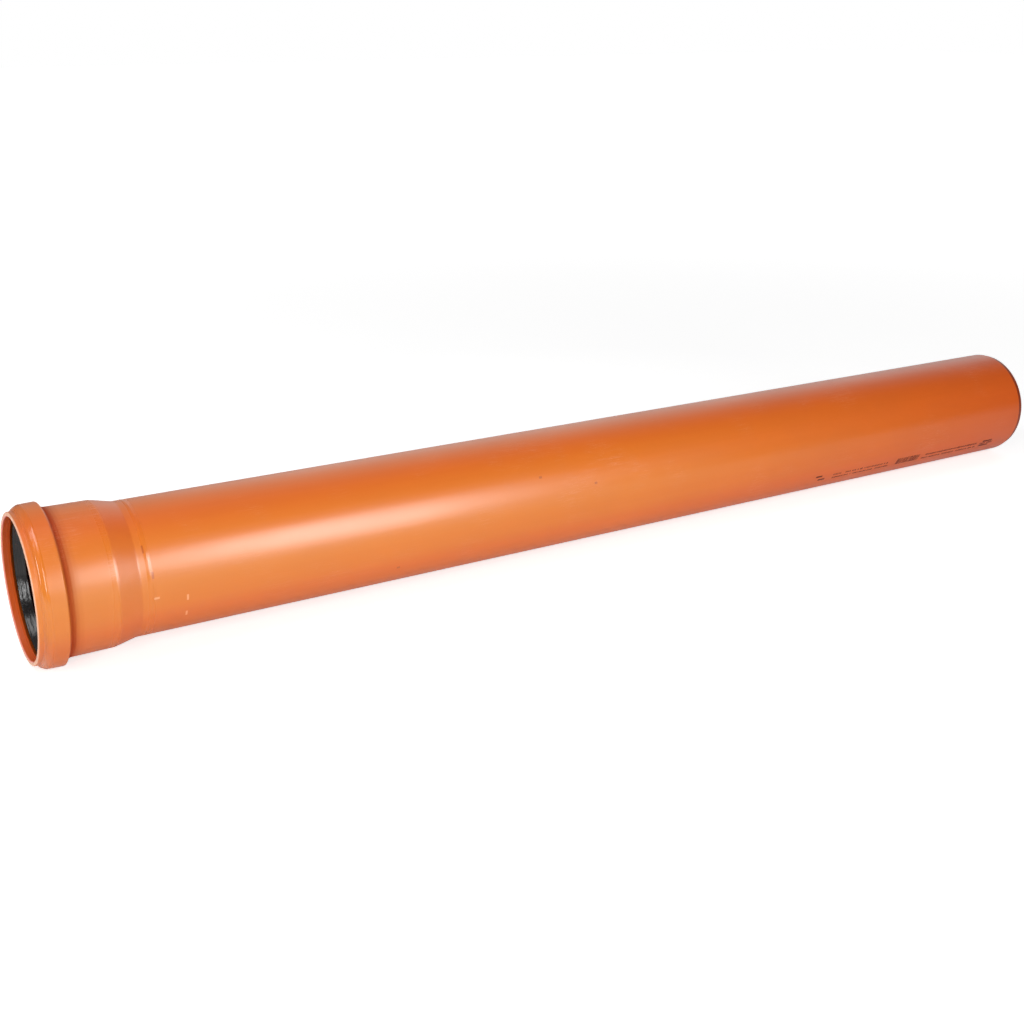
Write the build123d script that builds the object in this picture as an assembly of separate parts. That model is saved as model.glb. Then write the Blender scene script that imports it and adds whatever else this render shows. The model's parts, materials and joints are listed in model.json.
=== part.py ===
from build123d import *
import math
import os

os.makedirs("parts", exist_ok=True)

# A plastic sewer pipe, 110 mm across, with its socket at -X and its plain
# spigot at +X. Every section is drawn as (distance from the mouth, radius)
# and turned about the pipe's axis. All sizes are in millimetres.

# The barrel: a standard drain pipe and its cutting length
outside_diameter = 110.0
wall = 3.2
laying_length = 1000.0
insertion_depth = 70.0

# The spigot end, chamfered so that it slides under a rubber lip
chamfer_length = 6.0
chamfer_angle = 15.0

# The sleeve, which takes the next pipe's spigot
sleeve_clearance = 0.6
sleeve_draft = 0.35
socket_wall = 3.5
sleeve_end = 60.0
transition_length = 19.0

# The bead, pressed outward for the rubber seal
bead_start = 8.9
bead_length = 12.2
bead_shoulder = 5.8
bead_rise = 5.3
bead_chamfer_length = 3.0
bead_chamfer_rise = 1.8

# The rim in front of the bead
rim_length = 3.7
rim_clearance = 1.6
rim_wall = 3.6
mouth_length = 6.4
lead_in = 0.8

# The rubber seal, whose lip presses on the spigot that passes it
seat_gap = 0.3
front_gap = 1.9
seal_body = 2.7
lip_squeeze = 2.0
lip_length = 6.6
lip_thickness = 1.5

# The extruder leaves no seam, so the model's own turns to the underside
seam_angle = 100.0

# Sizes that follow
pipe_radius = outside_diameter / 2
bore_radius = pipe_radius - wall
total_length = laying_length + insertion_depth
transition_end = sleeve_end + transition_length
bead_end = bead_start + bead_length
shoulder_end = bead_end + bead_shoulder

sleeve_inner = pipe_radius + sleeve_clearance
sleeve_inner_front = sleeve_inner + sleeve_draft
sleeve_outer = sleeve_inner + socket_wall
sleeve_outer_front = sleeve_inner_front + socket_wall
bead_radius = sleeve_outer_front + bead_rise
groove_radius = bead_radius - socket_wall
mouth_radius = pipe_radius + rim_clearance
rim_radius = mouth_radius + rim_wall
spigot_radius = pipe_radius - chamfer_length * math.tan(math.radians(chamfer_angle))
chamfer_start = total_length - chamfer_length

# The groove runs one wall thickness inside the bead
groove_start = bead_start + socket_wall / 2
groove_end = bead_end - socket_wall / 4
groove_back = shoulder_end - socket_wall / 4


def turned(corners):
    """Turn a closed section, given as (x, radius, corner rounding), about the X axis."""
    points = [(x, radius) for x, radius, rounding in corners]
    roundings = [rounding for x, radius, rounding in corners]
    section = make_face(FilletPolyline(*points, radius=roundings, close=True))
    return revolve(section, axis=Axis.X, revolution_arc=360)


# The pipe is one piece, so its section runs once round the wall:
# along the outside from the mouth to the spigot, and back along the inside.
outside = [
    (0, rim_radius, 1.3),
    (rim_length, rim_radius, 0),
    (bead_start - bead_chamfer_length, bead_radius - bead_chamfer_rise, 0),
    (bead_start, bead_radius, 0),
    (bead_end, bead_radius, 4.0),
    (shoulder_end, sleeve_outer_front, 1.6),
    (sleeve_end, sleeve_outer, 24.0),
    (transition_end, pipe_radius, 5.0),
    (chamfer_start, pipe_radius, 0),
    (total_length, spigot_radius, 0),
]
inside = [
    (total_length, bore_radius, 0),
    (transition_end, bore_radius, 5.0),
    (sleeve_end, sleeve_inner, 20.0),
    (groove_back, sleeve_inner_front, 1.0),
    (groove_end, groove_radius, 1.5),
    (groove_start, groove_radius, 1.5),
    (mouth_length, mouth_radius, 0.6),
    (lead_in, mouth_radius, 0),
    (0, mouth_radius + lead_in, 0),
]
pipe = turned(outside + inside)

# The seal fills the groove, with a ridge in front against the mouth's wall
# and one flexible lip that reaches back and inward from its root.
seal_front = mouth_length + front_gap
seal_outer = groove_radius - seat_gap
ridge_radius = mouth_radius - 0.3
lip_root = pipe_radius + 0.9
lip_radius = pipe_radius - lip_squeeze
lip_front = groove_start - 0.2
lip_back = lip_front + lip_length
seal = [
    (seal_front, ridge_radius, 0),
    (groove_start, seal_outer - 1.1, 0),
    (groove_start + 1.2, seal_outer, 0),
    (groove_end - 1.2, seal_outer, 0),
    (groove_end + 0.1, seal_outer - 1.1, 0),
    (groove_back - 2.1, sleeve_inner_front + 1.4, 0),
    (groove_back - 3.7, sleeve_inner_front + 1.2, 0),
    (bead_end - 2.0, groove_radius - seal_body, 0),
    (lip_front + 4.4, groove_radius - seal_body, 0),
    (lip_front + 3.8, lip_root + lip_thickness, 0),
    (lip_back, lip_radius + lip_thickness, 0),
    (lip_back, lip_radius + 0.5, 0),
    (lip_back - 0.5, lip_radius, 0),
    (lip_front, lip_root, 0),
    (seal_front + 1.7, ridge_radius + 0.8, 0),
    (seal_front + 1.0, ridge_radius, 0),
]
seal_ring = turned(seal)

# At rest the bead and the spigot's lower edge touch the floor together,
# so the axis runs down toward the spigot by a small angle.
resting_tilt = math.degrees(
    math.atan2(bead_radius - pipe_radius, chamfer_start - bead_end)
)
lie = Rot(0, resting_tilt, 0) * Rot(seam_angle, 0, 0)
box = (lie * pipe).bounding_box()
place = Pos(-box.center().X, 0, -box.min.Z) * lie

export_step(place * pipe, "parts/pipe.step")
export_step(place * seal_ring, "parts/seal_ring.step")

mouth = place * Pos(0, 0, 0)
print("resting tilt", round(resting_tilt, 4), "degrees")
print("mouth centre", tuple(round(value, 4) for value in mouth.position))
print("total length", total_length, "bead radius", round(bead_radius, 3))
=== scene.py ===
# %% [markdown]
# # A plastic sewer pipe
#
# The object is one stock length of orange-brown drain pipe: a plain barrel, a socket belled out
# of its own wall at one end, a chamfered spigot at the other, and a black rubber lip seal inside
# the socket's bead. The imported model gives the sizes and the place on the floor. This script adds
# what the solids leave out: smooth turned surfaces, the satin plastic, the rubber, the printed
# line of marks, and a plain studio round it all.

import math

import bpy
from mathutils import Matrix, Vector
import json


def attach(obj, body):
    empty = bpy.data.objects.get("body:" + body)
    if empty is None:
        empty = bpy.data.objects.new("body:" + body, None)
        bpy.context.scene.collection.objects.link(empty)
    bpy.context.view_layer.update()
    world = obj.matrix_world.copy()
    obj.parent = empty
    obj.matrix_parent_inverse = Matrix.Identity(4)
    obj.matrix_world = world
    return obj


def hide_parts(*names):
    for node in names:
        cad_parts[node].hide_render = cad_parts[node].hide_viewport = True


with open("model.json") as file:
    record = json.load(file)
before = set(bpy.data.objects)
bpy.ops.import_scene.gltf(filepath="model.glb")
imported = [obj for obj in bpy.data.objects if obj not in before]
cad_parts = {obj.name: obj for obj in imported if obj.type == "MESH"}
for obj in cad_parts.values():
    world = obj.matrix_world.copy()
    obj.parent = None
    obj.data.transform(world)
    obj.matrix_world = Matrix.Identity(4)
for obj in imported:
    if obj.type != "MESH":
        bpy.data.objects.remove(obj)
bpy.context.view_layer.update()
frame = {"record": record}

# %% [markdown]
# ## Where the pipe lies
#
# The pipe rests on its bead and on the lower edge of its spigot, so its axis runs down toward the
# spigot by about half a degree. Every piece is easiest to draw along its own axis, in millimetres
# from the mouth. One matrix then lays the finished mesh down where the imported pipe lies, so the
# objects themselves stay at the origin, unturned.

# %% The matrix that lays a piece down
MM = 0.001
mounts = {mount["name"]: mount for mount in frame["record"]["mounts"]}
axis = Vector(mounts["spigot"]["axis"]).normalized()
socket_mount_from_mouth = 3.46
mouth = Vector(mounts["socket"]["pos_m"]) - axis * socket_mount_from_mouth * MM
tilt = math.atan2(-axis.z, axis.x)
lay_down = Matrix.Translation(mouth) @ Matrix.Rotation(tilt, 4, "Y")
print("mouth at", [round(v, 4) for v in mouth], "tilt", round(math.degrees(tilt), 3), "degrees")

# %% [markdown]
# ## A section with rounded corners
#
# Extruded plastic has no sharp corner, and each soft corner catches a thin line of light. So a
# section is written as corners, each with its own rounding, and this helper turns them into
# points. It also puts points close to both ends of each straight run. Smooth shading averages
# the normals at a point, and without those extra points a tiny rounding would bend the light
# over the whole length of the barrel.


# %% Turn corners into section points
def rounded(corners, turn=7.0, guard=0.3, longest=24.0):
    """Points (along, radius) of a closed section, from corners (along, radius, rounding)."""
    count = len(corners)
    arcs = []
    for i, (along, radius, rounding) in enumerate(corners):
        here = Vector((along, radius))
        back = (Vector(corners[i - 1][:2]) - here).normalized()
        ahead = (Vector(corners[(i + 1) % count][:2]) - here).normalized()
        if rounding == 0:
            arcs.append([here])
            continue
        half = back.angle(ahead) / 2
        centre = here + (back + ahead).normalized() * rounding / math.sin(half)
        start = here + back * rounding / math.tan(half) - centre
        sweep = start.angle_signed(here + ahead * rounding / math.tan(half) - centre)
        steps = max(2, math.ceil(abs(math.degrees(sweep)) / turn))
        arc = []
        for k in range(steps + 1):
            angle = -sweep * k / steps
            c, s = math.cos(angle), math.sin(angle)
            arc.append(centre + Vector((start.x * c - start.y * s, start.x * s + start.y * c)))
        arcs.append(arc)
    points = []
    for i, arc in enumerate(arcs):
        points += arc
        a, b = arc[-1], arcs[(i + 1) % count][0]
        length = (b - a).length
        if length > 4 * guard:
            stops = [guard / length, 1 - guard / length]
            inner = math.ceil((length - 2 * guard) / longest)
            stops += [(guard + (length - 2 * guard) * k / inner) / length for k in range(1, inner)]
            points += [a.lerp(b, t) for t in sorted(stops)]
    return points


# %% [markdown]
# ## The pipe's section
#
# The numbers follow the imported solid: 110 mm outside, 3.2 mm wall, 1070 mm long. On top of them
# comes what only the eye needs. The bead's back drops steeply to the sleeve and ends in a low
# ridge, and a ring ridge of a tenth of a millimetre runs round the barrel just behind the cone.
# Both are left by the tool that bells the socket, and both catch a thin line of light.

# %% Draw the pipe's section
pipe_radius = 55.0
bore_radius = 51.8
mouth_radius = 56.6
groove_radius = 61.25
groove_start = 10.65
total_length = 1070.0
chamfer_start = 1064.0
pipe_corners = [
    # along the outside, from the mouth to the spigot
    (0.0, 60.2, 1.0),
    (3.7, 60.3, 0.4),
    (5.9, 62.85, 2.6),
    (8.9, 64.5, 3.0),
    (21.6, 64.8, 1.1),
    (24.3, 59.8, 0.8),
    (26.3, 59.75, 0.6),
    (27.3, 59.45, 0.8),
    (61.0, 59.1, 12.0),
    (78.5, pipe_radius, 7.0),
    (83.4, 54.96, 4.0),
    (85.6, 55.14, 6.0),
    (88.2, pipe_radius, 8.0),
    (chamfer_start, pipe_radius, 0.3),
    (total_length, 53.39, 0.5),
    # back along the inside
    (total_length, bore_radius, 0.4),
    (79.0, bore_radius, 5.0),
    (60.0, 55.6, 20.0),
    (26.025, 55.95, 1.0),
    (20.225, groove_radius, 1.5),
    (groove_start, groove_radius, 1.5),
    (6.4, mouth_radius, 0.6),
    (0.8, mouth_radius, 0.4),
    (0.0, 57.4, 0.25),
]
pipe_points = rounded(pipe_corners)
print("pipe section:", len(pipe_points), "points")

# %% [markdown]
# ## A lathe in Geometry Nodes
#
# The pipe and its seal are both turned shapes: one closed section, repeated round one axis. That
# is a rule, so a node tree does it. A grid of points has one row for each section point and one
# column for each step round. Every grid point looks up its section point and is turned about the
# axis by its share of the circle. Merging closes the two seams. A little noise moves the surface
# in and out by a few hundredths of a millimetre, because a pressed socket is never quite true,
# and it is this that makes a highlight look like plastic instead of glass.


# %% Helpers that build node trees
def add(tree, kind, where=(0, 0), **values):
    """Add a node, set its properties and its inputs by name, and return it."""
    node = tree.nodes.new(kind)
    node.location = where
    for name, value in values.items():
        if hasattr(node, name) and name not in node.inputs:
            setattr(node, name, value)
        else:
            node.inputs[name.replace("_", " ")].default_value = value
    return node


def join(tree, *pairs):
    """Link pairs of sockets, written as output, input, output, input."""
    for out, into in zip(pairs[::2], pairs[1::2]):
        tree.links.new(out, into)


def maths(tree, operation, first, second=None, where=(0, 0), third=None, clamp=False):
    """One Math node. Each value is a number or a socket, and the result's socket is returned."""
    node = tree.nodes.new("ShaderNodeMath")
    node.operation = operation
    node.location = where
    node.use_clamp = clamp
    for socket, value in zip(node.inputs, (first, second, third)):
        if value is None:
            continue
        if isinstance(value, (int, float)):
            socket.default_value = value
        else:
            tree.links.new(value, socket)
    return node.outputs[0]


# %% The lathe tree
def lathe_tree():
    tree = bpy.data.node_groups.new("Turned on a lathe", "GeometryNodeTree")
    face = tree.interface
    face.new_socket("Section", in_out="INPUT", socket_type="NodeSocketGeometry")
    for name, kind, value in (
        ("Steps Around", "NodeSocketInt", 256),
        ("Unevenness", "NodeSocketFloat", 0.0),
        ("Unevenness Size", "NodeSocketFloat", 30.0),
        ("Seed", "NodeSocketInt", 1),
        ("Finish", "NodeSocketMaterial", None),
    ):
        socket = face.new_socket(name, in_out="INPUT", socket_type=kind)
        if value is not None:
            socket.default_value = value
    face.new_socket("Turned", in_out="OUTPUT", socket_type="NodeSocketGeometry")
    start = add(tree, "NodeGroupInput", (-1400, 0))
    end = add(tree, "NodeGroupOutput", (1600, 0))
    seam_gap = 0.001

    # One row for each section point, one column for each step round, and one more of each to close.
    size = add(tree, "GeometryNodeAttributeDomainSize", (-1200, 300), component="MESH")
    rows = maths(tree, "ADD", size.outputs["Point Count"], 1, (-1000, 300))
    columns = maths(tree, "ADD", start.outputs["Steps Around"], 1, (-1000, 150))
    grid = add(tree, "GeometryNodeMeshGrid", (-800, 300))
    join(tree, start.outputs["Section"], size.inputs[0], rows, grid.inputs["Vertices X"])
    join(tree, columns, grid.inputs["Vertices Y"])

    # A grid point's index gives its row and its column.
    index = add(tree, "GeometryNodeInputIndex", (-1000, -100)).outputs[0]
    row = maths(tree, "FLOOR", maths(tree, "DIVIDE", index, columns, (-800, 0)), None, (-600, 0))
    column = maths(tree, "MODULO", index, columns, (-800, -150))
    which = maths(tree, "MODULO", row, size.outputs["Point Count"], (-400, 0))
    turn = maths(tree, "DIVIDE", column, start.outputs["Steps Around"], (-600, -150))
    angle = maths(tree, "MULTIPLY", turn, math.tau, (-400, -150))

    # Look the section point up and turn it about the X axis.
    place = add(tree, "GeometryNodeInputPosition", (-400, -350))
    look_up = add(tree, "GeometryNodeSampleIndex", (-200, 100), data_type="FLOAT_VECTOR")
    turned = add(tree, "ShaderNodeVectorRotate", (0, 0), rotation_type="X_AXIS")
    laid = add(tree, "GeometryNodeSetPosition", (200, 200))
    join(tree, start.outputs["Section"], look_up.inputs["Geometry"])
    join(tree, place.outputs[0], look_up.inputs["Value"], which, look_up.inputs["Index"])
    join(tree, look_up.outputs[0], turned.inputs["Vector"], angle, turned.inputs["Angle"])
    join(tree, grid.outputs["Mesh"], laid.inputs["Geometry"])
    join(tree, turned.outputs[0], laid.inputs["Position"])
    closed = add(tree, "GeometryNodeMergeByDistance", (400, 200), Distance=seam_gap)
    join(tree, laid.outputs[0], closed.inputs["Geometry"])

    # The slight unevenness of a pressed wall moves each point along its own radius.
    noise = add(tree, "ShaderNodeTexNoise", (400, -200), noise_dimensions="4D", Scale=1.0, Detail=1.0)
    finer = add(tree, "ShaderNodeVectorMath", (200, -200), operation="DIVIDE")
    spread = add(tree, "ShaderNodeCombineXYZ", (0, -300))
    centred = maths(tree, "SUBTRACT", noise.outputs["Fac"], 0.5, (600, -200))
    amount = maths(tree, "MULTIPLY", centred, start.outputs["Unevenness"], (800, -200))
    radial = add(tree, "ShaderNodeVectorMath", (600, -400), operation="MULTIPLY")
    radial.inputs[1].default_value = (0, 1, 1)
    outward = add(tree, "ShaderNodeVectorMath", (800, -400), operation="NORMALIZE")
    offset = add(tree, "ShaderNodeVectorMath", (1000, -300), operation="SCALE")
    moved = add(tree, "GeometryNodeSetPosition", (1000, 200))
    for socket in spread.inputs:
        join(tree, start.outputs["Unevenness Size"], socket)
    join(tree, place.outputs[0], finer.inputs[0], spread.outputs[0], finer.inputs[1])
    join(tree, finer.outputs[0], noise.inputs["Vector"], start.outputs["Seed"], noise.inputs["W"])
    join(tree, place.outputs[0], radial.inputs[0], radial.outputs[0], outward.inputs[0])
    join(tree, outward.outputs[0], offset.inputs[0], amount, offset.inputs["Scale"])
    join(tree, closed.outputs[0], moved.inputs["Geometry"], offset.outputs[0], moved.inputs["Offset"])

    smooth = add(tree, "GeometryNodeSetShadeSmooth", (1150, 200))
    real = add(tree, "GeometryNodeRealizeInstances", (1280, 200))
    finish = add(tree, "GeometryNodeSetMaterial", (1420, 200))
    join(tree, moved.outputs[0], smooth.inputs[0], smooth.outputs[0], real.inputs[0])
    join(tree, real.outputs[0], finish.inputs["Geometry"])
    join(tree, start.outputs["Finish"], finish.inputs["Material"], finish.outputs[0], end.inputs[0])
    return tree


lathe = lathe_tree()
print("lathe tree:", len(lathe.nodes), "nodes")


# %% Run a tree on a starting mesh and keep the plain mesh
def run_tree(name, tree, points, edges, inputs):
    """Make a mesh from points and edges in mm, run the tree on it, and lay the result down."""
    mesh = bpy.data.meshes.new(name + " start")
    mesh.from_pydata(points, edges, [])
    worker = bpy.data.objects.new(name + " start", mesh)
    bpy.context.scene.collection.objects.link(worker)
    modifier = worker.modifiers.new("tree", "NODES")
    modifier.node_group = tree
    for item in tree.interface.items_tree:
        if item.item_type == "SOCKET" and item.in_out == "INPUT" and item.name in inputs:
            modifier[item.identifier] = inputs[item.name]
    bpy.context.view_layer.update()
    solved = worker.evaluated_get(bpy.context.evaluated_depsgraph_get())
    made = bpy.data.meshes.new_from_object(solved)
    worker.modifiers.clear()
    bpy.data.objects.remove(worker)
    made.transform(lay_down @ Matrix.Scale(MM, 4))
    made.name = name
    piece = bpy.data.objects.new(name, made)
    bpy.context.scene.collection.objects.link(piece)
    triangles = sum(len(face.vertices) - 2 for face in made.polygons)
    print(name, "has", len(made.vertices), "points and", triangles, "triangles")
    return piece


def turned(name, section, finish, steps, unevenness, size, seed):
    """Turn a closed section, given in mm, about the pipe's axis."""
    points = [(along, 0, radius) for along, radius in section]
    edges = [(i, (i + 1) % len(points)) for i in range(len(points))]
    inputs = {
        "Steps Around": steps,
        "Unevenness": unevenness,
        "Unevenness Size": size,
        "Seed": seed,
        "Finish": finish,
    }
    return run_tree(name, lathe, points, edges, inputs)


# %% [markdown]
# ## The pipe's own coordinates, for the materials
#
# A finish on a turned part follows the part: streaks run along it, marks sit at an angle round
# it. This shader group undoes the lay of the pipe and puts out the distance from the mouth, the
# distance from the axis and the place round it. Every material on the object uses it.


# %% A shader group for the pipe's coordinates
def new_group(name, inputs, outputs):
    """A shader group with named sockets, and its input and output nodes."""
    tree = bpy.data.node_groups.new(name, "ShaderNodeTree")
    for label, kind, value in inputs:
        socket = tree.interface.new_socket(label, in_out="INPUT", socket_type=kind)
        if value is not None:
            socket.default_value = value
    for label, kind in outputs:
        tree.interface.new_socket(label, in_out="OUTPUT", socket_type=kind)
    return tree, add(tree, "NodeGroupInput", (-1200, 0)), add(tree, "NodeGroupOutput", (1400, 0))


FLOAT, VECTOR = "NodeSocketFloat", "NodeSocketVector"


def along_pipe_group():
    outputs = (("Along", FLOAT), ("Radius", FLOAT), ("Round", FLOAT), ("Position", VECTOR))
    tree, start, end = new_group("Along the pipe", (), outputs)
    here = add(tree, "ShaderNodeTexCoord", (-1000, 0))
    undo = add(tree, "ShaderNodeMapping", (-800, 0), vector_type="TEXTURE")
    undo.inputs["Location"].default_value = mouth
    undo.inputs["Rotation"].default_value = (0, tilt, 0)
    undo.inputs["Scale"].default_value = (MM, MM, MM)
    parts = add(tree, "ShaderNodeSeparateXYZ", (-600, 0))
    join(tree, here.outputs["Object"], undo.inputs["Vector"], undo.outputs[0], parts.inputs[0])
    y, z = parts.outputs["Y"], parts.outputs["Z"]
    squares = maths(tree, "ADD", maths(tree, "MULTIPLY", y, y), maths(tree, "MULTIPLY", z, z))
    radius = maths(tree, "SQRT", squares, None, (0, 0))
    # Degrees from the top, counted over the side that faces the viewer.
    angle = maths(tree, "ARCTAN2", maths(tree, "MULTIPLY", y, -1.0), z, (0, -200))
    degrees = maths(tree, "MULTIPLY", angle, 180 / math.pi, (200, -200))
    join(tree, parts.outputs["X"], end.inputs["Along"], radius, end.inputs["Radius"])
    join(tree, degrees, end.inputs["Round"], undo.outputs[0], end.inputs["Position"])
    return tree


along_pipe = along_pipe_group()


def pipe_group(tree, where):
    """Place the group in a material or in another group."""
    node = add(tree, "ShaderNodeGroup", where)
    node.node_tree = along_pipe
    return node


# %% [markdown]
# ## Wear that more than one finish shares
#
# The pipe has slid over other pipes and a shop floor. Its wear is fine scratches that run mostly
# along it, and specks. The rubber and the ink have the same marks at other sizes. So both are
# groups: noise stretched along the pipe and cut to thin lines, and small cells cut to dots.


# %% Shader groups for scratches and for specks
def scratches_group():
    inputs = (
        ("Length", FLOAT, 40.0),
        ("Width", FLOAT, 1.2),
        ("Share", FLOAT, 0.5),
        ("Seed", FLOAT, 0.0),
    )
    tree, start, end = new_group("Fine scratches", inputs, (("Mask", FLOAT),))
    position = pipe_group(tree, (-1000, 0)).outputs["Position"]
    shape = add(tree, "ShaderNodeCombineXYZ", (-800, -200))
    join(tree, start.outputs["Length"], shape.inputs[0], start.outputs["Width"], shape.inputs[1])
    join(tree, start.outputs["Width"], shape.inputs[2])
    scaled = add(tree, "ShaderNodeVectorMath", (-600, 0), operation="DIVIDE")
    join(tree, position, scaled.inputs[0], shape.outputs[0], scaled.inputs[1])
    lines = add(tree, "ShaderNodeTexNoise", (-400, 0), noise_dimensions="4D", Scale=1.0, Detail=3.0)
    join(tree, scaled.outputs[0], lines.inputs["Vector"], start.outputs["Seed"], lines.inputs["W"])
    # A line lies where the noise crosses its middle value. The sharpness makes it thin.
    sharpness = 60.0
    from_middle = maths(tree, "SUBTRACT", lines.outputs["Fac"], 0.5)
    ridge = maths(tree, "ABSOLUTE", from_middle, None, (-100, 0))
    faded = maths(tree, "MULTIPLY", ridge, sharpness)
    thin = maths(tree, "SUBTRACT", 1.0, faded, (100, 0), clamp=True)
    # Scratches come in patches, so a broad noise keeps some and drops the rest.
    patch_edge = 8.0
    broad = add(tree, "ShaderNodeTexNoise", (-400, -300), noise_dimensions="4D", Scale=0.02, Detail=2.0)
    join(tree, position, broad.inputs["Vector"], start.outputs["Seed"], broad.inputs["W"])
    limit = maths(tree, "SUBTRACT", 1.0, start.outputs["Share"], (-200, -300))
    past_limit = maths(tree, "SUBTRACT", broad.outputs["Fac"], limit)
    kept = maths(tree, "MULTIPLY", past_limit, patch_edge, (0, -300), clamp=True)
    join(tree, maths(tree, "MULTIPLY", thin, kept, (300, 0)), end.inputs["Mask"])
    return tree


def specks_group():
    inputs = (
        ("Spacing", FLOAT, 12.0),
        ("Size", FLOAT, 0.5),
        ("Share", FLOAT, 0.3),
        ("Seed", FLOAT, 0.0),
    )
    tree, start, end = new_group("Specks", inputs, (("Mask", FLOAT),))
    position = pipe_group(tree, (-1000, 0)).outputs["Position"]
    scaled = add(tree, "ShaderNodeVectorMath", (-800, 0), operation="DIVIDE")
    even = add(tree, "ShaderNodeCombineXYZ", (-1000, -200))
    for socket in even.inputs:
        join(tree, start.outputs["Spacing"], socket)
    join(tree, position, scaled.inputs[0], even.outputs[0], scaled.inputs[1])
    cells = add(tree, "ShaderNodeTexVoronoi", (-500, 0), voronoi_dimensions="4D", Scale=1.0)
    join(tree, scaled.outputs[0], cells.inputs["Vector"], start.outputs["Seed"], cells.inputs["W"])
    tell = add(tree, "ShaderNodeSeparateColor", (-300, -200))
    join(tree, cells.outputs["Color"], tell.inputs[0])
    # Each cell's colour decides whether it has a speck, and how large that is.
    chosen = maths(tree, "LESS_THAN", tell.outputs[0], start.outputs["Share"], (-100, -200))
    smallest = 0.3
    share = maths(tree, "ADD", tell.outputs[1], smallest)
    reach = maths(tree, "MULTIPLY", start.outputs["Size"], share, (-100, -350))
    away = maths(tree, "MULTIPLY", cells.outputs["Distance"], start.outputs["Spacing"], (-100, 0))
    near = maths(tree, "SUBTRACT", 1.0, maths(tree, "DIVIDE", away, reach), (100, 0), clamp=True)
    edge_gain = 3.0
    sharp = maths(tree, "MULTIPLY", near, edge_gain, (300, 0), clamp=True)
    join(tree, maths(tree, "MULTIPLY", sharp, chosen, (500, 0)), end.inputs["Mask"])
    return tree


scratches, specks = scratches_group(), specks_group()
print("groups:", [tree.name for tree in (along_pipe, scratches, specks)])


# %% Helpers for materials
def new_material(name):
    """A material, its tree, its shader, and the pipe's coordinates in it."""
    material = bpy.data.materials.new(name)
    material.use_nodes = True
    tree = material.node_tree
    return material, tree, tree.nodes["Principled BSDF"], pipe_group(tree, (-2200, 0))


def use(tree, group, where=(0, 0), **values):
    """Place a shader group with its own values and return its first output."""
    node = add(tree, "ShaderNodeGroup", where)
    node.node_tree = group
    for name, value in values.items():
        node.inputs[name].default_value = value
    return node.outputs[0]


# The Mix node's sockets for colours share their names with those for numbers, so they go by place.
MIX_SHARE, MIX_FIRST, MIX_SECOND, MIX_RESULT = 0, 6, 7, 2


def blend_colours(tree, share, first, second, where=(0, 0), kind="MIX"):
    """Mix two colours, each a socket or numbers, by a share that is a socket."""
    node = tree.nodes.new("ShaderNodeMix")
    node.data_type, node.blend_type, node.location = "RGBA", kind, where
    tree.links.new(share, node.inputs[MIX_SHARE])
    for index, value in ((MIX_FIRST, first), (MIX_SECOND, second)):
        if isinstance(value, bpy.types.NodeSocket):
            tree.links.new(value, node.inputs[index])
        else:
            node.inputs[index].default_value = (*value, 1)
    return node.outputs[MIX_RESULT]


def lay_over(tree, colour, mask, amount, paint, where=(0, 0), kind="MIX"):
    """Lay a paint over a colour, or multiply the colour by it, where a mask is 1."""
    share = maths(tree, "MULTIPLY", mask, amount)
    return blend_colours(tree, share, colour, paint, where, kind)


def band(tree, value, low, high, soft, where=(0, 0)):
    """A mask that is 1 between low and high and fades over soft on either side."""
    above = maths(tree, "SUBTRACT", value, low - soft)
    below = maths(tree, "SUBTRACT", high + soft, value)
    rise = maths(tree, "DIVIDE", above, soft, where, clamp=True)
    fall = maths(tree, "DIVIDE", below, soft, where, clamp=True)
    return maths(tree, "MULTIPLY", rise, fall, where)


def noise(tree, position, stretch, detail=2.0, where=(0, 0), roughness=0.5):
    """Noise on the pipe's position, with a length in mm for each direction."""
    scaled = add(tree, "ShaderNodeVectorMath", where, operation="DIVIDE")
    scaled.inputs[1].default_value = stretch
    texture = add(tree, "ShaderNodeTexNoise", (where[0] + 200, where[1]), Scale=1.0, Detail=detail)
    texture.inputs["Roughness"].default_value = roughness
    join(tree, position, scaled.inputs[0], scaled.outputs[0], texture.inputs["Vector"])
    return texture.outputs["Fac"]


def curve(tree, value, stops, where=(0, 0)):
    """A smooth curve through (position, height) pairs, read at a value."""
    node = add(tree, "ShaderNodeValToRGB", where)
    node.color_ramp.interpolation = "EASE"
    elements = node.color_ramp.elements
    for index, (position, height) in enumerate(stops):
        # A new ramp comes with two stops.
        element = elements[index] if index < 2 else elements.new(position)
        element.position, element.color = position, (height, height, height, 1)
    join(tree, value, node.inputs["Fac"])
    return node.outputs["Color"]


def ring_noise(tree, where, length, degrees, place):
    """Noise that runs round the pipe, with its size in mm along it and in degrees round it."""
    wrap = add(tree, "ShaderNodeCombineXYZ", place)
    join(tree, where.outputs["Along"], wrap.inputs[0], where.outputs["Round"], wrap.inputs[1])
    return noise(tree, wrap.outputs[0], (length, degrees, 1.0), 2.0, (place[0] + 200, place[1]))


def add_up(tree, total, parts, where=(0, 0)):
    """A number plus each mask times its gain."""
    for mask, gain in parts:
        total = maths(tree, "MULTIPLY_ADD", mask, gain, where, total)
    return total


def relief(tree, shader, height):
    """Bend the shader's normals by a height in millimetres."""
    bump = add(tree, "ShaderNodeBump", (-300, -300), Strength=1.0, Distance=MM)
    join(tree, height, bump.inputs["Height"], bump.outputs[0], shader.inputs["Normal"])
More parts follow.
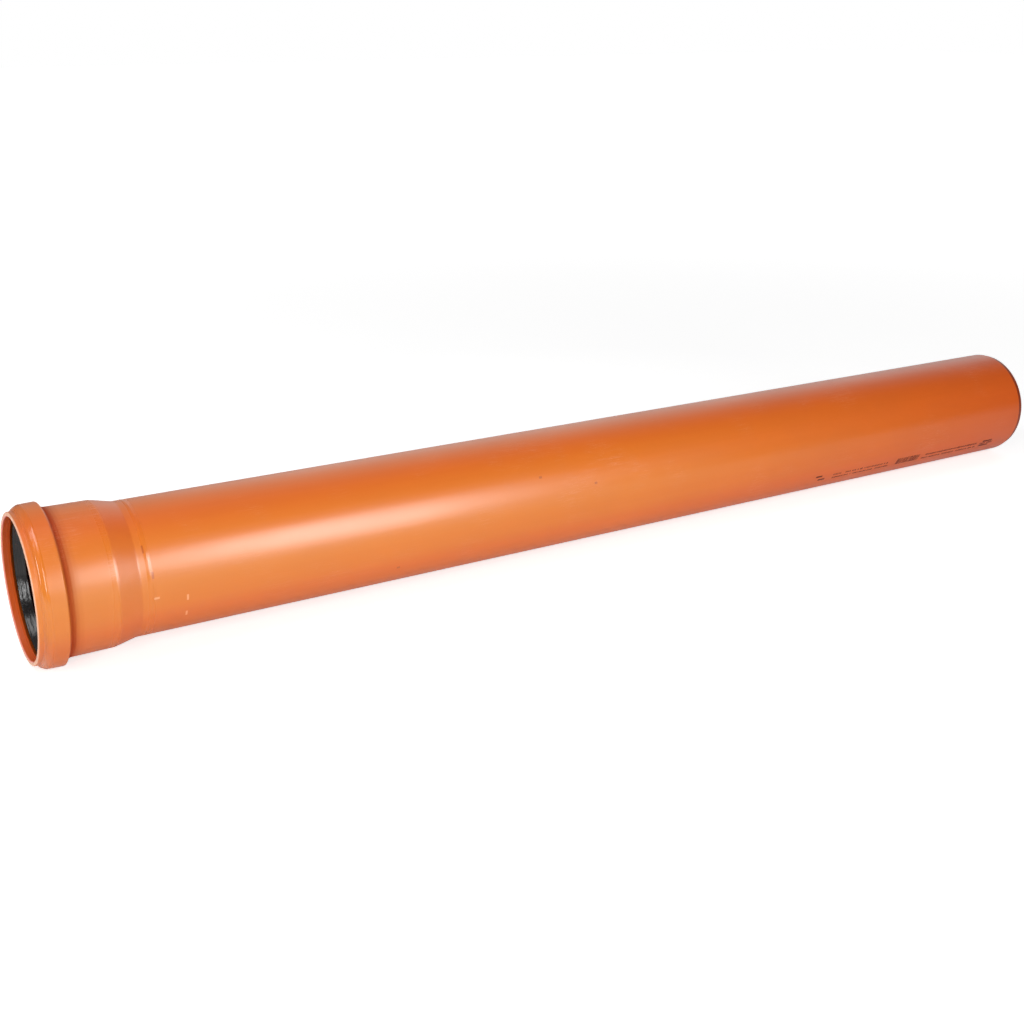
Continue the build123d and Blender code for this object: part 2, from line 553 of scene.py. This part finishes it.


# %% [markdown]
# ## The orange plastic
#
# The pipe is through-coloured and extruded. Its colour drifts from a yellower orange at the mouth
# to a redder one at the spigot, and the die left faint streaks along it. Round the barrel the colour
# is painted redder on top and underneath than on the side that faces the front lights: painted shade
# for the way the light falls. Over that come the paler cut rim, whose pale paint is also a painted
# highlight, painted shade at the foot of the bead, a redder tint inside the mouth that is painted
# bounce light, a darker cone and chamfer, scratches, specks, a few single knocks, and two painted
# dark reflections beside the glint of the ring ridge. What tells the eye that it is plastic is the
# satin gloss, so the roughness and the bump carry as much as the colour: die lines along the barrel,
# faint rings near the socket, and edges rubbed smooth.

# %% Numbers for the plastic
# Painted shade: how much of the lit side's colour shows round the pipe; 0.5 is the top, 0.75 the side in
# front.
LIT_SIDE_SHARE = (
    (0.0, 0.3),
    (0.25, 0.5),
    (0.5, 0.35),
    (0.572, 0.0),
    (0.65, 0.6),
    (0.74, 1.0),
    (0.78, 0.85),
    (0.84, 0.25),
    (1.0, 0.3),
)
# Painted shade darkens the foot of the bead and thins out over the first centimetre of the sleeve.
FOOT_SHADE_START, FOOT_SHADE_REACH = 20.0, 20.0
FOOT_SHADE = ((0.07, 0.0), (0.17, 0.85), (0.25, 1.0), (0.33, 0.85), (0.44, 0.40), (0.57, 0.15), (0.75, 0.0))
# Single knocks, and two painted dark reflections: mm from the mouth, degrees round, half the length, half
# the degrees, paint.
PALE, DARK = (0.97, 0.52, 0.28), (0.38, 0.07, 0.02)
KNOCKS_AND_REFLECTIONS = (
    (89.5, 98.0, 1.9, 0.6, PALE),
    (113.6, 103.0, 0.5, 2.4, PALE),
    (113.3, 120.5, 0.5, 2.4, PALE),
    # The next two are painted dark reflections of the ring ridge, above and below its glint.
    (84.0, 56.0, 0.5, 3.0, DARK),
    (88.0, 78.0, 0.6, 2.6, DARK),
    (297.0, 121.0, 1.2, 0.9, DARK),
    (439.0, 59.0, 1.3, 0.8, DARK),
    (495.0, 74.0, 1.2, 0.8, DARK),
)
# Raised edges were rubbed smooth where the pipe met other pipes: from, to, softness, gain.
RUBBED = ((5.0, 10.0, 0.6, -0.15), (57.0, 59.5, 3.0, -0.07), (84.8, 86.6, 2.5, -0.10))


# %% The plastic's colour, with painted shade round the barrel
def blend_lengthwise(tree, length, near, middle, far):
    """A colour that drifts from the mouth over the middle to the spigot."""
    node = add(tree, "ShaderNodeValToRGB", (-1300, 600))
    stops = node.color_ramp.elements
    stops[0].color, stops[1].color = (*near, 1), (*far, 1)
    stops.new(0.5).color = (*middle, 1)
    join(tree, length, node.inputs["Fac"])
    return node.outputs["Color"]


def plastic_colour(tree, where, cloud, streak):
    length = maths(tree, "DIVIDE", where.outputs["Along"], total_length, (-1500, 600), clamp=True)
    # The side facing the front lights and the redder top and underside: painted light and shade, not the
    # plastic's own colour.
    lit_side = ((0.71, 0.202, 0.022), (0.70, 0.182, 0.013), (0.65, 0.093, 0.002))
    shaded_top = ((0.72, 0.144, 0.020), (0.74, 0.139, 0.012), (0.72, 0.100, 0.002))
    lit_side, shaded_top = blend_lengthwise(tree, length, *lit_side), blend_lengthwise(tree, length, *shaded_top)
    turn = maths(tree, "MULTIPLY_ADD", where.outputs["Round"], 1 / 360, (-1500, 200), 0.5)
    share = curve(tree, turn, LIT_SIDE_SHARE, (-1300, 200))
    colour = blend_colours(tree, share, shaded_top, lit_side, (-1200, 400))
    colour = blend_colours(tree, cloud, colour, (0.90, 0.90, 0.90), (-1100, 400), "MULTIPLY")
    return lay_over(tree, colour, streak, 0.5, (1.08, 1.18, 1.30), (-1000, 400), "MULTIPLY")


def lay_knocks_and_reflections(tree, where, colour):
    """Lay the knocks and the painted dark reflections over a colour, each a small patch at its place along
    and round.
    """
    edge_mm, edge_degrees, strength = 0.5, 0.6, 0.6
    along, around = where.outputs["Along"], where.outputs["Round"]
    for place, degrees, half_length, half_turn, paint in KNOCKS_AND_REFLECTIONS:
        here = band(tree, along, place - half_length, place + half_length, edge_mm)
        there = band(tree, around, degrees - half_turn, degrees + half_turn, edge_degrees)
        colour = lay_over(tree, colour, maths(tree, "MULTIPLY", here, there), strength, paint)
    return colour


# %% The orange plastic
def orange_plastic():
    material, tree, shader, where = new_material("orange drain plastic")
    position, along = where.outputs["Position"], where.outputs["Along"]
    cloud = noise(tree, position, (90, 45, 45), 3.0, (-1900, 300))
    streak = noise(tree, position, (260, 5, 5), 3.0, (-1900, 0), 0.6)
    grain = noise(tree, position, (1.6, 0.9, 0.9), 2.0, (-1900, -300))
    rings = ring_noise(tree, where, 5.0, 30.0, (-1900, -1200))
    line = use(tree, scratches, (-1900, -600), Length=36.0, Width=1.1, Share=0.47, Seed=3.0)
    dark = use(tree, specks, (-1900, -800), Spacing=26.0, Size=0.55, Share=0.2, Seed=5.0)
    pale = use(tree, specks, (-1900, -1000), Spacing=17.0, Size=0.4, Share=0.2, Seed=9.0)

    # The cut rim is paler, and its pale paint also stands in for a painted highlight along the rim.
    cut_rim_and_highlight = band(tree, along, -2.0, 0.2, 0.7, (-1300, 100))
    # Painted shade where the bead shadows the foot of the sleeve.
    past_foot = maths(tree, "MULTIPLY_ADD", along, 1 / FOOT_SHADE_REACH, (-1300, -100), -FOOT_SHADE_START / FOOT_SHADE_REACH)
    foot_shade = curve(tree, past_foot, FOOT_SHADE, (-1100, -100))
    cone = band(tree, along, 62.0, 78.0, 1.5)
    chamfer = band(tree, along, chamfer_start + 0.3, 1072.0, 0.4)
    # Inside the mouth the colour turns redder: painted bounce light, for light reflected between the
    # orange walls.
    within = maths(tree, "LESS_THAN", where.outputs["Radius"], 57.3, (-1300, -350))
    painted_mouth_bounce = maths(tree, "MULTIPLY", within, band(tree, along, -1.0, 9.0, 0.5, (-1300, -400)))
    near_socket = maths(tree, "MULTIPLY", band(tree, along, 28.0, 110.0, 40.0, (-1500, -1200)), 0.03)

    colour = plastic_colour(tree, where, cloud, streak)
    for mask, amount, paint, kind in (
        # pale cut rim, partly a painted highlight
        (cut_rim_and_highlight, 0.8, (1.0, 0.60, 0.42), "MIX"),
        # painted shade at the foot of the bead
        (foot_shade, 0.8, (0.46, 0.14, 0.13), "MULTIPLY"),
        (cone, 0.6, (0.90, 0.74, 0.60), "MULTIPLY"),
        (chamfer, 0.9, (0.35, 0.25, 0.25), "MULTIPLY"),
        # painted bounce light inside the mouth
        (painted_mouth_bounce, 1.0, (1.06, 0.72, 0.95), "MULTIPLY"),
        (line, 0.22, (0.93, 0.46, 0.26), "MIX"),
        (pale, 0.5, (0.95, 0.60, 0.42), "MIX"),
        (dark, 0.7, (0.16, 0.04, 0.02), "MIX"),
    ):
        colour = lay_over(tree, colour, mask, amount, paint, (-600, 400), kind)
    join(tree, lay_knocks_and_reflections(tree, where, colour), shader.inputs["Base Color"])

    rough = add_up(tree, 0.27, ((cloud, 0.10), (line, 0.18), (cut_rim_and_highlight, 0.25), (foot_shade, 0.4)), (-500, 0))
    edges = [(band(tree, along, low, high, soft), gain) for low, high, soft, gain in RUBBED]
    join(tree, add_up(tree, rough, edges, (-300, 0)), shader.inputs["Roughness"])
    dull = maths(tree, "ADD", foot_shade, chamfer, (-500, -100), clamp=True)
    join(tree, add_up(tree, 0.8, ((dull, -0.6),), (-300, -100)), shader.inputs["Specular IOR Level"])

    heights = ((grain, 0.010), (streak, 0.05), (line, -0.02), (rings, near_socket))
    relief(tree, shader, add_up(tree, 0.0, heights, (-500, -300)))
    return material


plastic = orange_plastic()

# %% [markdown]
# ## Turn the pipe
#
# The finished mesh stands for the CAD node, which stays behind it for collision.

# %% Turn the pipe
pipe = turned("pipe_surface", pipe_points, plastic, 256, 0.22, 34.0, 4)
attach(pipe, "root")
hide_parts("pipe")

# %% [markdown]
# ## The rubber seal
#
# The seal is one moulded ring. A thick body fills the groove, and one flexible lip reaches back
# and inward, ready to press on the next pipe. Only its front shows: one slope from the edge
# against the mouth's wall to the tip of the lip. The rubber is nearly black, with a gloss that
# moulded ripples and dust break up.


# %% The rubber's finish
def black_rubber():
    material, tree, shader, where = new_material("black rubber")
    position = where.outputs["Position"]
    cloud = noise(tree, position, (14, 22, 22), 3.0, (-1900, 300))
    grain = noise(tree, position, (0.8, 0.8, 0.8), 2.0, (-1900, 0))
    dust = use(tree, specks, (-1900, -300), Spacing=9.0, Size=0.45, Share=0.35, Seed=2.0)
    line = use(tree, scratches, (-1900, -500), Length=3.0, Width=9.0, Share=0.5, Seed=7.0)
    colour = blend_colours(tree, cloud, (0.010, 0.010, 0.011), (0.022, 0.021, 0.020), (-900, 300))
    colour = lay_over(tree, colour, dust, 0.6, (0.55, 0.50, 0.46), (-700, 300))
    join(tree, colour, shader.inputs["Base Color"])
    rough = add_up(tree, 0.12, ((cloud, 0.16), (line, 0.2)), (-700, 0))
    join(tree, rough, shader.inputs["Roughness"])
    # Moulded ripples run round the ring.
    ripple = ring_noise(tree, where, 2.4, 15.0, (-1900, -700))
    height = add_up(tree, 0.0, ((grain, 0.008), (line, -0.02), (ripple, 0.5)), (-700, -300))
    relief(tree, shader, height)
    return material


rubber = black_rubber()

# %% Turn the seal
seal_outer = 60.95
seal_corners = [
    (8.4, 57.4, 0.25),
    (groove_start, 59.85, 0.4),
    (11.85, seal_outer, 0.4),
    (19.025, seal_outer, 0.4),
    (20.325, 59.85, 0.4),
    (23.925, 57.35, 0.3),
    (22.325, 57.15, 0.3),
    (19.1, 58.55, 0.5),
    (14.85, 58.55, 0.4),
    (14.25, 57.4, 0.5),
    (16.75, 54.7, 0.3),
    (16.55, 53.7, 0.2),
    (16.05, 53.3, 0.2),
    (8.3, 56.4, 0.45),
]
seal_points = rounded(seal_corners, turn=12.0, guard=0.15, longest=3.0)
seal = turned("seal_surface", seal_points, rubber, 256, 0.30, 26.0, 8)
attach(seal, "root")
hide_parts("seal_ring")

# %% [markdown]
# ## The printed line
#
# An ink jet prints a band of small marks low on the barrel, near the spigot. This copy keeps the
# band's place, size and dark brown tone, but holds only plain ticks and bars that say nothing.
# A node tree makes one row: boxes along a line, each with its own width and height, wrapped round
# the barrel as a closed film a few hundredths of a millimetre thick.


# %% The tree for a row of ticks
def ticks_tree():
    tree = bpy.data.node_groups.new("Row of ticks", "GeometryNodeTree")
    face = tree.interface
    face.new_socket("Start", in_out="INPUT", socket_type="NodeSocketGeometry")
    for name, kind, value in (
        ("From", FLOAT, 0.0),
        ("Pitch", FLOAT, 2.0),
        ("Count", "NodeSocketInt", 10),
        ("Round", FLOAT, 120.0),
        ("Width", FLOAT, 0.8),
        ("Width Spread", FLOAT, 0.3),
        ("Height", FLOAT, 3.0),
        ("Height Spread", FLOAT, 1.0),
        ("Dropped", FLOAT, 0.15),
        ("Radius", FLOAT, 55.0),
        ("Seed", "NodeSocketInt", 1),
        ("Finish", "NodeSocketMaterial", None),
    ):
        socket = face.new_socket(name, in_out="INPUT", socket_type=kind)
        if value is not None:
            socket.default_value = value
    face.new_socket("Ticks", in_out="OUTPUT", socket_type="NodeSocketGeometry")
    start = add(tree, "NodeGroupInput", (-1400, 0))
    end = add(tree, "NodeGroupOutput", (1400, 0))
    given = start.outputs
    film_thickness = 0.09

    origin = add(tree, "ShaderNodeCombineXYZ", (-1200, 200))
    step = add(tree, "ShaderNodeCombineXYZ", (-1200, 50))
    line = add(tree, "GeometryNodeMeshLine", (-1000, 200), mode="OFFSET", count_mode="TOTAL")
    join(tree, given["From"], origin.inputs[0], given["Pitch"], step.inputs[0])
    join(tree, given["Count"], line.inputs["Count"], origin.outputs[0], line.inputs["Start Location"])
    join(tree, step.outputs[0], line.inputs["Offset"])

    def chance(low, high, number, where):
        """A number between low and high for each tick, drawn apart from the tree's other draws."""
        node = add(tree, "FunctionNodeRandomValue", where, data_type="FLOAT")
        for socket, value in ((node.inputs[2], low), (node.inputs[3], high)):
            if isinstance(value, (int, float)):
                socket.default_value = value
            else:
                tree.links.new(value, socket)
        join(tree, maths(tree, "ADD", given["Seed"], number), node.inputs["Seed"])
        return node.outputs[1]

    drop = add(tree, "FunctionNodeCompare", (-800, 0), operation="LESS_THAN")
    join(tree, chance(0.0, 1.0, 1, (-1000, -50)), drop.inputs[0], given["Dropped"], drop.inputs[1])
    kept = add(tree, "GeometryNodeDeleteGeometry", (-600, 200), domain="POINT")
    join(tree, line.outputs[0], kept.inputs["Geometry"], drop.outputs[0], kept.inputs["Selection"])

    box = add(tree, "GeometryNodeMeshCube", (-600, -100), Size=(1, 1, 1), Vertices_Y=7)
    size = add(tree, "ShaderNodeCombineXYZ", (-400, -200))
    wide = chance(0.0, given["Width Spread"], 2, (-800, -250))
    high = chance(0.0, given["Height Spread"], 3, (-800, -450))
    join(tree, maths(tree, "SUBTRACT", given["Width"], wide), size.inputs[0])
    join(tree, maths(tree, "SUBTRACT", given["Height"], high), size.inputs[1])
    size.inputs[2].default_value = film_thickness
    set_out = add(tree, "GeometryNodeInstanceOnPoints", (-200, 200))
    join(tree, kept.outputs[0], set_out.inputs["Points"], box.outputs["Mesh"], set_out.inputs["Instance"])
    join(tree, size.outputs[0], set_out.inputs["Scale"])
    real = add(tree, "GeometryNodeRealizeInstances", (0, 200))
    join(tree, set_out.outputs[0], real.inputs[0])

    # Wrap the flat row: height on the paper becomes an angle, thickness becomes radius.
    place = add(tree, "GeometryNodeInputPosition", (0, -100))
    parts = add(tree, "ShaderNodeSeparateXYZ", (150, -100))
    join(tree, place.outputs[0], parts.inputs[0])
    away = maths(tree, "ADD", parts.outputs["Z"], given["Radius"], (300, -200))
    angle = maths(tree, "DIVIDE", parts.outputs["Y"], given["Radius"], (300, -50))
    angle = maths(tree, "SUBTRACT", maths(tree, "MULTIPLY", given["Round"], math.pi / 180), angle)
    sine = maths(tree, "MULTIPLY", maths(tree, "SINE", angle), away, (600, -50))
    cosine = maths(tree, "MULTIPLY", maths(tree, "COSINE", angle), away, (600, -200))
    wrapped = add(tree, "ShaderNodeCombineXYZ", (800, -100))
    join(tree, parts.outputs["X"], wrapped.inputs[0], cosine, wrapped.inputs[2])
    join(tree, maths(tree, "MULTIPLY", sine, -1.0), wrapped.inputs[1])
    moved = add(tree, "GeometryNodeSetPosition", (1000, 200))
    join(tree, real.outputs[0], moved.inputs["Geometry"], wrapped.outputs[0], moved.inputs["Position"])
    finish = add(tree, "GeometryNodeSetMaterial", (1200, 200))
    join(tree, moved.outputs[0], finish.inputs["Geometry"])
    join(tree, given["Finish"], finish.inputs["Material"], finish.outputs[0], end.inputs[0])
    return tree


ticks = ticks_tree()


# %% The ink
def printing_ink():
    material, tree, shader, where = new_material("printing ink")
    thin = noise(tree, where.outputs["Position"], (1.1, 1.1, 1.1), 3.0, (-1900, 0))
    worn = use(tree, scratches, (-1900, -300), Length=8.0, Width=0.9, Share=0.6, Seed=4.0)
    colour = blend_colours(tree, thin, (0.050, 0.012, 0.006), (0.13, 0.022, 0.008), (-900, 300))
    colour = lay_over(tree, colour, worn, 0.6, (0.60, 0.12, 0.03), (-700, 300))
    join(tree, colour, shader.inputs["Base Color"])
    join(tree, add_up(tree, 0.4, ((thin, 0.2),), (-700, 0)), shader.inputs["Roughness"])
    shader.inputs["Specular IOR Level"].default_value = 0.25
    return material


ink = printing_ink()

# %% Print the rows
names = (
    *("From", "Pitch", "Count", "Round", "Width"),
    *("Width Spread", "Height", "Height Spread", "Dropped", "Seed"),
)
rows = [
    # a row's name, and then its values in the order of the names above
    ("print small mark one", 775.0, 1.0, 1, 121.6, 8.5, 0.0, 2.4, 0.0, 0.0, 11),
    ("print small mark two", 780.5, 1.0, 1, 127.3, 9.0, 0.0, 2.4, 0.0, 0.0, 11),
    ("print upper row one", 796.0, 1.9, 41, 123.0, 1.5, 0.8, 2.8, 1.2, 0.08, 12),
    ("print lower row one", 797.0, 1.9, 42, 128.6, 1.5, 0.8, 2.8, 1.2, 0.12, 13),
    ("print bars", 887.0, 1.35, 25, 124.7, 1.15, 0.75, 9.6, 0.4, 0.05, 14),
    ("print upper row two", 930.0, 1.9, 42, 122.6, 1.5, 0.8, 2.8, 1.2, 0.08, 15),
    ("print lower row two", 927.0, 1.9, 45, 128.5, 1.5, 0.8, 2.8, 1.2, 0.12, 16),
    ("print round mark one", 1019.0, 1.6, 9, 121.3, 1.5, 0.2, 2.6, 0.4, 0.0, 17),
    ("print round mark two", 1015.6, 1.9, 11, 124.9, 1.3, 0.4, 3.0, 0.4, 0.1, 18),
    ("print round mark three", 1016.5, 1.6, 9, 128.5, 1.5, 0.2, 2.6, 0.4, 0.0, 19),
]
printed = []
for name, *values in rows:
    inputs = dict(zip(names, values))
    inputs.update({"Radius": pipe_radius, "Finish": ink})
    printed.append(run_tree(name, ticks, [(0, 0, 0)], [], inputs))
with bpy.context.temp_override(
    active_object=printed[0], selected_editable_objects=printed, selected_objects=printed
):
    bpy.ops.object.join()
marks = printed[0]
marks.name = "printed_marks"
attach(marks, "root")
print("printed marks:", len(marks.data.polygons), "faces")

# %% [markdown]
# ## The studio
#
# A long soft highlight on the side that faces the camera comes from a soft box and a wider, weaker
# light in front of the pipe. A light overhead on the left fills the top of the socket, a strip in
# front of the mouth draws thin lines on the bead's edges, and a small light on the left makes the
# streak on the rubber. The pale band along the top is the surround, mirrored: it is bright behind
# the pipe and on the right, dim in front and on the left, and strongest a little above the
# horizon. The plain floor keeps the pipe's shadow, and the camera sees white behind it all.


# %% The floor
def map_range(tree, value, given, wanted, where):
    """Stretch a value from the given range to the wanted one, and stop at its ends."""
    node = add(tree, "ShaderNodeMapRange", where, From_Min=given[0], From_Max=given[1])
    node.inputs["To Min"].default_value, node.inputs["To Max"].default_value = wanted
    join(tree, value, node.inputs["Value"])
    return node.outputs[0]


def pale_floor():
    material = bpy.data.materials.new("pale floor")
    material.use_nodes = True
    tree = material.node_tree
    shader = tree.nodes["Principled BSDF"]
    shader.inputs["Roughness"].default_value = 0.9
    shader.inputs["Specular IOR Level"].default_value = 0.1
    here = add(tree, "ShaderNodeTexCoord", (-900, 0))
    mottle = add(tree, "ShaderNodeTexNoise", (-700, 0), Scale=3.0, Detail=4.0)
    join(tree, here.outputs["Object"], mottle.inputs["Vector"])
    shade = blend_colours(tree, mottle.outputs["Fac"], (0.85, 0.85, 0.85), (0.87, 0.87, 0.87), (-400, 0))
    join(tree, shade, shader.inputs["Base Color"])
    path = add(tree, "ShaderNodeLightPath", (-900, -400))
    # The lamps light the floor less farther away, so the camera sees it glow more there.
    away = add(tree, "ShaderNodeVectorMath", (-900, -200), operation="LENGTH")
    join(tree, here.outputs["Object"], away.inputs[0])
    glow = map_range(tree, away.outputs["Value"], (0.8, 3.0), (0.64, 1.0), (-700, -200))
    seen = maths(tree, "MULTIPLY", path.outputs["Is Camera Ray"], glow, (-500, -400))
    # The plastic mirrors it brighter behind the pipe and toward the spigot.
    parts = add(tree, "ShaderNodeSeparateXYZ", (-900, -600))
    join(tree, here.outputs["Object"], parts.inputs[0])
    right = map_range(tree, parts.outputs["X"], (-0.42, 0.56), (0.0, 0.92), (-700, -600))
    behind = map_range(tree, parts.outputs["Y"], (0.05, 0.4), (0.1, 1.0), (-700, -800))
    sheen = maths(tree, "MULTIPLY", right, behind, (-500, -600))
    seen = maths(tree, "MULTIPLY_ADD", path.outputs["Is Glossy Ray"], sheen, (-300, -400), seen)
    shader.inputs["Emission Color"].default_value = (1, 1, 1, 1)
    join(tree, seen, shader.inputs["Emission Strength"])
    return material


floor_mesh = bpy.data.meshes.new("floor")
reach = 12.0
floor_corners = [(-reach, -reach, 0), (reach, -reach, 0), (reach, reach, 0), (-reach, reach, 0)]
floor_mesh.from_pydata(floor_corners, [], [(0, 1, 2, 3)])
floor = bpy.data.objects.new("floor", floor_mesh)
floor.data.materials.append(pale_floor())
bpy.context.scene.collection.objects.link(floor)


# %% The surround
def surround():
    world = bpy.data.worlds.new("studio surround")
    bpy.context.scene.world = world
    world.use_nodes = True
    tree = world.node_tree
    tree.nodes.clear()
    output = add(tree, "ShaderNodeOutputWorld", (800, 0))
    path = add(tree, "ShaderNodeLightPath", (-200, 400))
    seen = add(tree, "ShaderNodeBackground", (200, 200), Color=(1, 1, 1, 1), Strength=1.0)
    lit = add(tree, "ShaderNodeBackground", (200, -100), Color=(1, 1, 1, 1))
    here = add(tree, "ShaderNodeTexCoord", (-1100, -100))
    parts = add(tree, "ShaderNodeSeparateXYZ", (-900, -200))
    join(tree, here.outputs["Generated"], parts.inputs[0])
    right = curve(tree, parts.outputs["X"], ((0.0, 0.25), (0.15, 0.40), (0.35, 1.0)), (-600, 200))
    behind = curve(tree, parts.outputs["Y"], ((0.0, 0.15), (0.2, 0.40), (0.6, 1.0)), (-600, -50))
    heights = ((0.0, 0.40), (0.2, 0.75), (0.35, 0.80), (0.6, 0.60), (0.9, 0.40))
    rise = curve(tree, parts.outputs["Z"], heights, (-600, -300))
    level = 1.3
    both = maths(tree, "MULTIPLY", right, behind, (-300, 0))
    shape = maths(tree, "MULTIPLY", both, rise, (-200, -100))
    strength = maths(tree, "MULTIPLY", shape, level, (0, -100))
    join(tree, strength, lit.inputs["Strength"])
    choose = add(tree, "ShaderNodeMixShader", (500, 0))
    join(tree, path.outputs["Is Camera Ray"], choose.inputs[0], lit.outputs[0], choose.inputs[1])
    join(tree, seen.outputs[0], choose.inputs[2], choose.outputs[0], output.inputs["Surface"])


surround()


# %% The lights
def soft_light(name, place, target, width, height, power):
    """A rectangular area light at a place, turned to face a target."""
    data = bpy.data.lights.new(name, "AREA")
    data.shape, data.size, data.size_y, data.energy = "RECTANGLE", width, height, power
    light = bpy.data.objects.new(name, data)
    light.location = place
    light.rotation_euler = (Vector(target) - Vector(place)).to_track_quat("-Z", "Y").to_euler()
    bpy.context.scene.collection.objects.link(light)


on_barrel, near_mouth = (-0.20, 0.0, 0.08), (-0.53, 0.0, 0.06)
soft_light("front soft box", (0.25, -1.42, 0.58), on_barrel, 0.36, 0.95, 11.0)
soft_light("front fill", (0.05, -1.44, 0.60), on_barrel, 0.95, 0.60, 5.0)
soft_light("overhead light on the left", (-0.95, 0.0, 1.38), (-0.45, 0.0, 0.10), 0.80, 0.80, 8.0)
soft_light("strip light in front of the mouth", (-1.28, -1.155, 0.645), near_mouth, 0.26, 0.75, 7.0)
soft_light("small light left of the mouth", (-1.70, -0.29, 0.53), near_mouth, 0.20, 0.55, 4.5)

# %% [markdown]
# ## The camera
#
# The camera's place was worked out from the photograph: the two long edges of the barrel, the
# ellipse of the mouth and the curve of the far end fix where it stood, how far it looked down and
# its focal length, because the pipe's own sizes are known.

# %% The camera
lens_data = bpy.data.cameras.new("camera")
lens_data.lens = 49.39
lens_data.shift_x, lens_data.shift_y = -0.0664, -0.0605
lens_data.clip_end = 100.0
camera = bpy.data.objects.new("camera", lens_data)
camera.location = (-0.70994, -1.0711, 0.49023)
camera.rotation_euler = (math.radians(90 - 17.4556), 0, math.radians(-32.656))
bpy.context.scene.collection.objects.link(camera)
bpy.context.scene.camera = camera
bpy.context.scene.view_settings.view_transform = "Standard"
